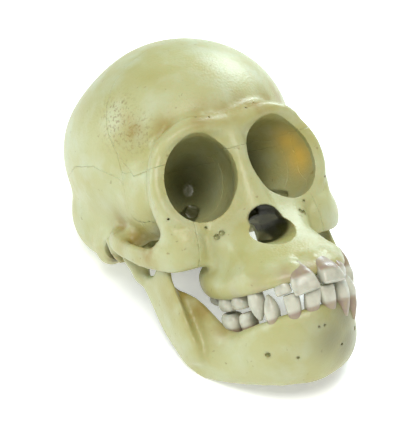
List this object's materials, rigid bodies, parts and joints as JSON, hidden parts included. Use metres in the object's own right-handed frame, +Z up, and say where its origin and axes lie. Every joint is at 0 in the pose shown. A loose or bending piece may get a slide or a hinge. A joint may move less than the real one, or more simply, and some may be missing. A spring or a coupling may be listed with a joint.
{
  "type": "chimpanzee skull",
  "caption": "Life-size juvenile chimpanzee skull with its lower jaw and teeth, lying at rest on the angles of the jaw and the back of the head.",
  "frame": {"origin": "centre of the bounding box at the floor on which the skull rests", "axes": "+Z up, the face looks towards -Y and upwards, +X is the animal's left"},
  "size_m": [0.0982, 0.188, 0.1028],
  "materials": {
    "braincase_bone": "smooth dry bone, satin",
    "face_bone": "smooth dry bone, satin",
    "jaw_bone": "smooth dry bone, satin",
    "teeth": "dry enamel, satin"
  },
  "bodies": {
    "root": {"frontal": "braincase_bone", "parietal_left": "braincase_bone", "parietal_right": "braincase_bone", "occipital": "braincase_bone", "temporal_left": "braincase_bone", "temporal_right": "braincase_bone", "sphenoid": "braincase_bone", "zygomatic_left": "face_bone", "zygomatic_right": "face_bone", "maxilla": "teeth", "mandible": "jaw_bone"}
  },
  "joints": []
}
